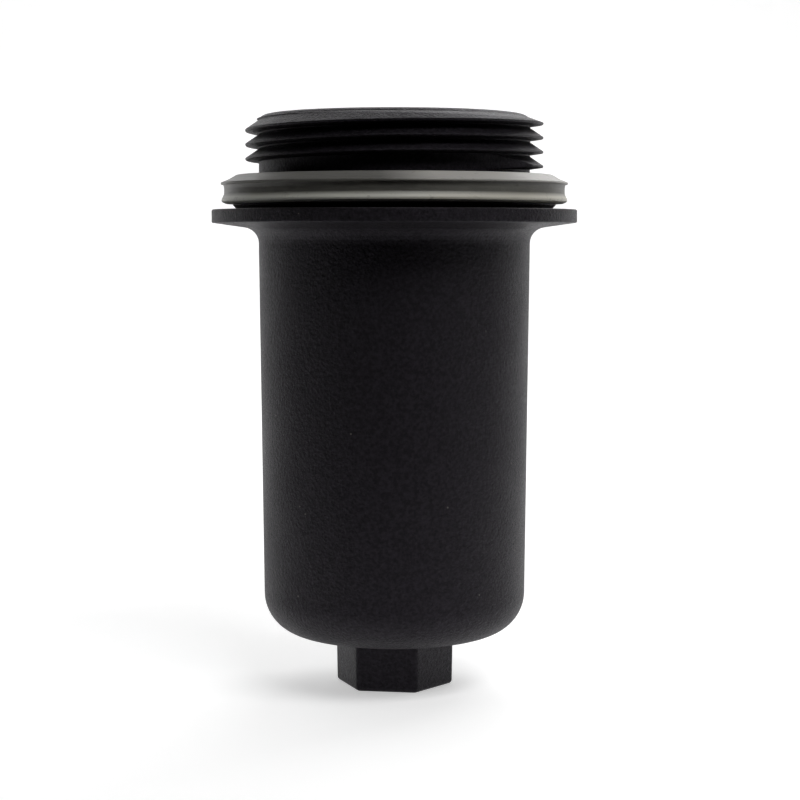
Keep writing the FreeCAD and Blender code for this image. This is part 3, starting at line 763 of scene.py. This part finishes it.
def pleat_path(rng):
    """Centre line of the folded paper, one closed run round the cartridge, with small faults."""
    points = []
    for i in range(PLEATS):
        crest = 2 * math.pi * i / PLEATS
        trough = crest + math.pi / PLEATS
        free = 0.0 if i in (0, PLEATS - 1) else 1.0
        crest += free * rng.uniform(-0.008, 0.008)
        outer = MEDIA_R[1] - PAPER / 2 - FOLD_OUT - free * rng.uniform(0.0, 0.22)
        inner = MEDIA_R[0] + PAPER / 2 + FOLD_IN + rng.uniform(0.0, 0.1)
        for k in range(-3, 4):
            a = crest + k * math.radians(29)
            points.append((outer * math.cos(crest) + FOLD_OUT * math.cos(a),
                           outer * math.sin(crest) + FOLD_OUT * math.sin(a)))
        for k in range(2, -3, -1):
            a = trough + math.pi + k * math.radians(42)
            points.append((inner * math.cos(trough) + FOLD_IN * math.cos(a),
                           inner * math.sin(trough) + FOLD_IN * math.sin(a)))
    return points


def pleated_media(materials):
    """Folded paper of even thickness, whose pleats sway a little between the two caps."""
    low, high = z_range("pleated_media")
    path = np.array(pleat_path(random.Random(7)))
    along = np.roll(path, -1, axis=0) - np.roll(path, 1, axis=0)
    along /= np.linalg.norm(along, axis=1)[:, None]
    across = np.stack([along[:, 1], -along[:, 0]], axis=1)
    around = np.stack([-path[:, 1], path[:, 0]], axis=1) / 20.0
    levels = np.linspace(low, high, MEDIA_LEVELS)
    count = len(path)
    verts, faces = [], []
    for z in levels:
        free = math.sin(math.pi * (z - low) / (high - low))
        waver = [noise.noise(Vector((x * 0.35, y * 0.35, z * 0.05))) for x, y in path]
        swing = around * (free * 0.05 * np.array(waver))[:, None]
        for side in (0.5, -0.5):
            for x, y in path + swing + across * PAPER * side:
                verts.append((x * MM, y * MM, z * MM))
    for level in range(MEDIA_LEVELS - 1):
        for side in (0, 1):
            base = (2 * level + side) * count
            for i in range(count):
                a, b = base + i, base + (i + 1) % count
                quad = (a, b, b + 2 * count, a + 2 * count)
                faces.append(quad[::-1] if side else quad)
    for base, flip in ((0, True), ((MEDIA_LEVELS - 1) * 2 * count, False)):
        for i in range(count):
            j = (i + 1) % count
            quad = (base + i, base + j, base + count + j, base + count + i)
            faces.append(quad[::-1] if flip else quad)
    dress(finish_mesh("paper", verts, faces), materials, "pleated_media")


def glue_beads(materials):
    """Hand-laid rings of hot glue, thick and thin in turn, broken at the seam clip."""
    last = 2 * math.pi - BEAD_GAP
    angles = column_angles(BEAD_STEPS, BEAD_GAP, last)
    low, high = z_range("pleat_spacing_beads")
    inner, outer = BEAD_R
    section = [2 * math.pi * k / BEAD_SIDES for k in range(BEAD_SIDES)]
    verts, faces = [], []
    for number, centre in enumerate((low + 1.2, (low + high) / 2, high - 1.2)):
        faces += tube_faces(len(verts), len(angles), BEAD_SIDES)
        for angle in angles:
            at = Vector((math.cos(angle) * 9, math.sin(angle) * 9, number * 7.3))
            shift = 0.08 * noise.noise(at * 0.6 + Vector((5, 0, 0)))
            ends = min(1.0, 0.35 + 14 * min(angle - BEAD_GAP, last - angle))
            size = (0.86 + 0.14 * noise.noise(at)) * ends
            verts += ring_points(angle, [(inner + (outer - inner) * (0.5 + 0.5 * math.cos(a)) * size,
                                          centre + shift + BEAD_HALF * 0.9 * size * math.sin(a))
                                         for a in section])
    dress(finish_mesh("glue_beads", verts, faces), materials, "pleat_spacing_beads")


# ---------------------------------------------------------------- turned and pressed pieces
# Each outline is a list of (radius, height, fillet) corners, in order round the section.

STEM_RADII = (2.4, 3.2)
CAP_SHEET = 0.6
CAP_BEND = 1.1
TUBE_RADIUS = 11.5


def outer_radius(node):
    """Outer radius of a round node, in millimetres."""
    return round(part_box(node)[1].x / MM, 3)


def flat_ring(node, inner, edges):
    """Plain ring; edges are the fillets from the lower inner corner round to the upper inner one."""
    low, high = z_range(node)
    outer = outer_radius(node)
    corners = ((inner, low), (outer, low), (outer, high), (inner, high))
    return [(r, z, edge) for (r, z), edge in zip(corners, edges)]


def spring_cup():
    """Plate with a skirt inside the spring and a turned-down rim."""
    low, high = z_range("spring_cup")
    outer = outer_radius("spring_cup")
    hole, skirt, sheet = 7.0, 12.0, 0.9
    plate, rim = high - 1.0, low + 1.1
    return [
        (hole, plate, 0.2), (skirt, plate, 0.5), (skirt, low, 0.2), (skirt + sheet, low, 0.2),
        (skirt + sheet, plate, 0.3), (outer - sheet, plate, 0.3), (outer - sheet, rim, 0.2),
        (outer, rim, 0.2), (outer, high, 0.7), (hole, high, 0.3)]


def lower_end_cap():
    low, high = z_range("lower_end_cap")
    outer = outer_radius("lower_end_cap")
    hole, inner, floor = 6.5, outer - CAP_SHEET, low + CAP_SHEET
    return [
        (hole, low, 0.2), (14.0, low, 0.2), (outer, low, CAP_BEND), (outer, high, 0.25),
        (inner, high, 0.2), (inner, floor, 0.5), (hole, floor, 0.2)]


def upper_end_cap():
    """Cap with a shallow groove pressed near its rim."""
    low, high = z_range("upper_end_cap")
    outer = outer_radius("upper_end_cap")
    hole, inner, roof = 12.0, outer - CAP_SHEET, high - CAP_SHEET
    groove = high - 0.25
    return [
        (hole, roof, 0.2), (inner, roof, 0.5), (inner, low, 0.2), (outer, low, 0.25),
        (outer, high, CAP_BEND), (24.9, high, 0.5), (24.4, groove, 0.5), (23.6, groove, 0.5),
        (23.1, high, 0.5), (14.2, high, 0.3), (hole, high, 0.2)]


def upper_port_seal():
    """Grommet: a slot for the cap's edge, and two lips with a groove between them on top."""
    low, high = z_range("upper_port_seal")
    outer = outer_radius("upper_port_seal")
    bore, neck = 9.0, 12.0
    slot_low, slot_high, groove = low + 2.0, low + 2.6, high - 0.45
    return [
        (bore, low + 0.4, 0.3), (bore + 0.4, low, 0.2), (outer, low, 0.4), (outer, slot_low, 0.3),
        (neck, slot_low, 0.15), (neck, slot_high, 0.15), (13.2, slot_high, 0.4), (12.6, high, 0.6),
        (11.6, high, 0.2), (11.3, groove, 0.2), (10.8, groove, 0.2), (10.5, high, 0.2),
        (9.8, high, 0.4), (bore, high - 0.8, 0.5)]


def anti_drain_flap():
    """Thin disc that rises to its rim, with a raised bead round its hole."""
    low, high = z_range("anti_drain_flap")
    outer = outer_radius("anti_drain_flap")
    hole, skin, bead = 13.6, low + 0.9, low + 1.15
    return [
        (hole, low, 0.15), (16.2, low, 0.5), (outer, high - 0.6, 0.2), (outer, high, 0.25),
        (19.0, low + 1.12, 0.6), (16.2, skin, 0.4), (15.6, bead, 0.3), (14.8, bead, 0.3),
        (14.4, skin, 0.3), (hole, skin, 0.2)]


def valve_body():
    """Cup with a foot flange and a raised seat round its port."""
    low, high = z_range("valve_body")
    outer = outer_radius("valve_body")
    port, inside, wall = 5.0, 8.8, 9.6
    foot, seat = low + 1.0, low + 1.7
    return [
        (port, low, 0.15), (outer, low, 0.15), (outer, foot, 0.3), (wall, foot, 0.3), (wall, high, 0.25),
        (inside, high, 0.25), (inside, foot, 0.5), (6.0, foot, 0.15), (5.8, seat, 0.25), (port, seat, 0.25)]


def valve_poppet():
    """Half section, from the axis to the axis: button, seal groove, disc and stem."""
    low, high = z_range("valve_poppet")
    seal_low, seal_high = z_range("valve_disc_seal")
    disc = outer_radius("valve_poppet")
    throat, button = STEM_RADII
    return rounded([
        (0, low, 0), (button, low, 0.25), (button, seal_low - 0.1, 0.15), (throat, seal_low, 0.1),
        (throat, seal_high, 0.1), (disc, seal_high, 0.3), (disc, seal_high + 1.0, 0.35),
        (2.8, seal_high + 1.0, 0.4), (1.6, seal_high + 2.2, 0.4), (1.6, high - 0.5, 0.15),
        (1.1, high, 0.15), (0, high, 0)], 4)


def turned_parts(materials):
    """Turned, pressed and moulded round pieces of the cartridge, its springs and its valve."""
    outlines = {
        "spring_seat_washer": flat_ring("spring_seat_washer", 12.0, (0.2, 0.2, 0.3, 0.3)),
        "spring_cup": spring_cup(),
        "lower_end_cap": lower_end_cap(),
        "upper_end_cap": upper_end_cap(),
        "lower_potting": flat_ring("lower_potting", TUBE_RADIUS, (0.1, 0.1, 0.3, 0.3)),
        "upper_potting": flat_ring("upper_potting", 13.4, (0.3, 0.3, 0.1, 0.1)),
        "upper_port_seal": upper_port_seal(),
        "anti_drain_flap": anti_drain_flap(),
        "valve_body": valve_body(),
        "valve_disc_seal": flat_ring("valve_disc_seal", STEM_RADII[0], (0.1, 0.25, 0.25, 0.1)),
    }
    for node, corners in outlines.items():
        piece = lathe(node.replace("_", "-"), closed_outline(corners, 4), CAP_COLUMNS)
        dress(piece, materials, node)
    dress(lathe("valve-poppet", valve_poppet(), STEM_COLUMNS), materials, "valve_poppet")


def dress_cad_nodes(materials):
    """Nodes whose exact shape is kept get only their material."""
    for node in ("centre_tube", "media_seam_clip", "valve_retainer"):
        piece = frame["nodes"][node]
        piece.data.materials.clear()
        piece.data.materials.append(materials[SLOT_OF[node]])


# ---------------------------------------------------------------- stage

TABLE_GLOW, BACKDROP_GLOW, FAR_GLOW = 0.48, 0.5, 0.95
GLOW_X = (0.45, 1.0)
STAGE_HALF, STAGE_FRONT, STAGE_BACK, STAGE_TOP = 1.5, -0.11, 1.3, 1.6


def flat_piece(name, corners, material):
    mesh = bpy.data.meshes.new(name)
    mesh.from_pydata(corners, [], [(0, 1, 2, 3)])
    piece = bpy.data.objects.new(name, mesh)
    piece.data.materials.append(material)
    bpy.context.scene.collection.objects.link(piece)


def lit_sheet(name, glow):
    """Translucent white sheet lit from behind, more strongly out where the lamps don't reach."""
    s = Shader(name)
    weave = s.noise(40.0, 3.0, 0.5)
    s.set(Base_Color=s.mix(weave, rgb(0.78, 0.78, 0.78), rgb(0.82, 0.82, 0.82)), Roughness=0.8,
          Emission_Color=rgb(1.0, 1.0, 1.0),
          Emission_Strength=s.ramp(s.math("ABSOLUTE", s.along("X")), *GLOW_X, glow, FAR_GLOW))
    return s.material


def add_stage():
    """Backlit white table top with a backlit sheet far behind it."""
    front = [(-STAGE_HALF, STAGE_FRONT, 0), (STAGE_HALF, STAGE_FRONT, 0)]
    back = [(STAGE_HALF, STAGE_BACK, 0), (-STAGE_HALF, STAGE_BACK, 0)]
    top = [(STAGE_HALF, STAGE_BACK, STAGE_TOP), (-STAGE_HALF, STAGE_BACK, STAGE_TOP)]
    flat_piece("table", front + back, lit_sheet("table_sheet", TABLE_GLOW))
    flat_piece("backdrop", back[::-1] + top, lit_sheet("backdrop_sheet", BACKDROP_GLOW))


# ---------------------------------------------------------------- build

bpy.context.scene.view_settings.view_transform = "Standard"
add_camera()
for lamp in LAMPS:
    add_lamp(*lamp)
add_world()
add_stage()
palette = make_materials()
housing_bowl(palette)
seal_ring(palette)
for node, figures in SPRINGS.items():
    spring(node, *figures, palette)
pleated_media(palette)
glue_beads(palette)
turned_parts(palette)
dress_cad_nodes(palette)
